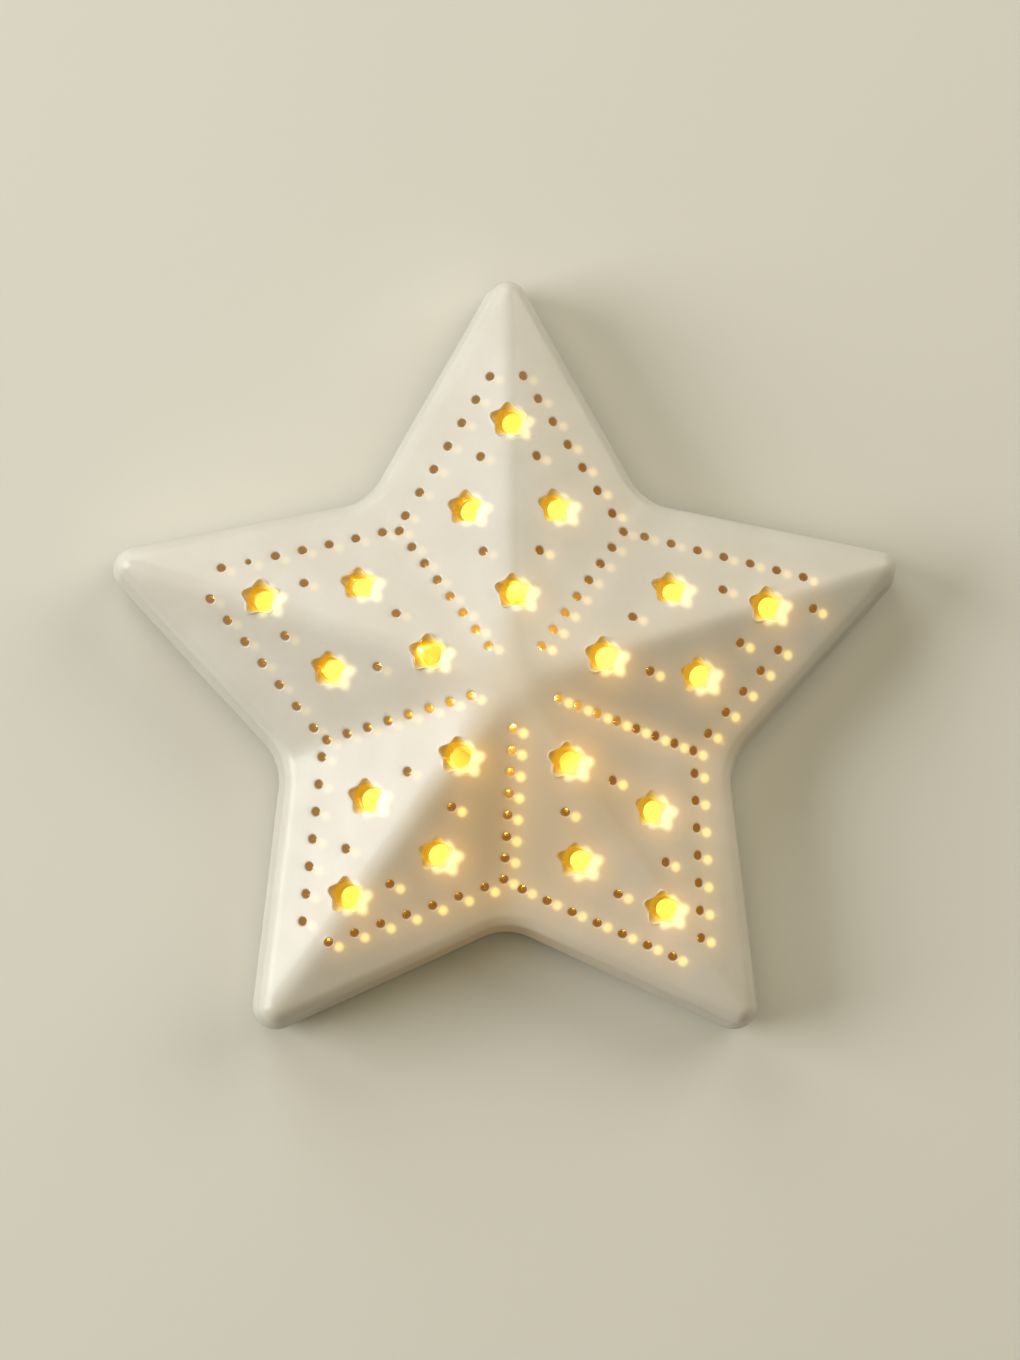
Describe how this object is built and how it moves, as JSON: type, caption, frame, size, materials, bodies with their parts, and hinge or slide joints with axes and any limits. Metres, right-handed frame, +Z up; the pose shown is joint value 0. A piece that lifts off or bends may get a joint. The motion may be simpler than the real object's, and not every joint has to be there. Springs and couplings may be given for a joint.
{
  "type": "star tealight holder",
  "caption": "Pierced ceramic star cover with a ridged roof that lifts off a star tray holding a battery tealight.",
  "frame": {"origin": "centre of the star on the table, at the underside of the centre felt pad", "axes": "+Z up, out of the star's relief; +Y along the first arm; +X to the right of it, seen from above"},
  "size_m": [0.2502, 0.2388, 0.0571],
  "materials": {
    "cream_glaze": "glossy cream-white glaze over white clay",
    "grey_felt": "pressed felt",
    "candle_wax_plastic": "wax-like satin plastic",
    "white_moulded_plastic": "satin moulded plastic",
    "flame_silicone": "translucent amber silicone, lit from inside",
    "led_epoxy": "clear warm epoxy",
    "board_laminate": "green solder mask",
    "cell_steel": "plain nickel-plated steel, no marking",
    "contact_brass": "pressed sheet",
    "switch_plastic": "satin moulded plastic",
    "wire_insulation": "smooth insulation"
  },
  "bodies": {
    "base": {"star_base": "cream_glaze", "felt_pad_centre": "grey_felt", "felt_pad_arm_1": "grey_felt", "felt_pad_arm_2": "grey_felt", "felt_pad_arm_3": "grey_felt", "felt_pad_arm_4": "grey_felt", "felt_pad_arm_5": "grey_felt"},
    "cover": {"star_cover": "cream_glaze"},
    "tealight": {"candle_shell": "candle_wax_plastic", "candle_floor": "white_moulded_plastic", "flame_lens": "flame_silicone", "led": "led_epoxy", "circuit_board": "board_laminate", "battery_cell": "cell_steel", "contact_negative": "contact_brass", "contact_positive": "contact_brass", "switch_body": "switch_plastic", "switch_wire_1": "wire_insulation", "switch_wire_2": "wire_insulation"},
    "battery_door": {"battery_cover": "white_moulded_plastic"},
    "knob": {"switch_knob": "switch_plastic"}
  },
  "joints": [
    {"name": "cover_lift", "type": "slide", "parent": "base", "child": "cover", "axis": [0, 0, 1], "range_m": [0, 0.1]},
    {"name": "tealight_lift", "type": "slide", "parent": "base", "child": "tealight", "axis": [0, 0, 1], "range_m": [0, 0.05]},
    {"name": "switch_slide", "type": "slide", "parent": "tealight", "child": "knob", "axis": [0, 1, 0], "range_m": [0, 0.003]},
    {"name": "battery_door_turn", "type": "hinge", "parent": "tealight", "child": "battery_door", "pos_m": [-0.002, 0, 0.0079], "axis": [0, 0, 1], "range_deg": [0, 40]}
  ],
  "couplings": [
    {"joint": "tealight_lift", "follows": "cover_lift", "ratio": 0.45}
  ]
}
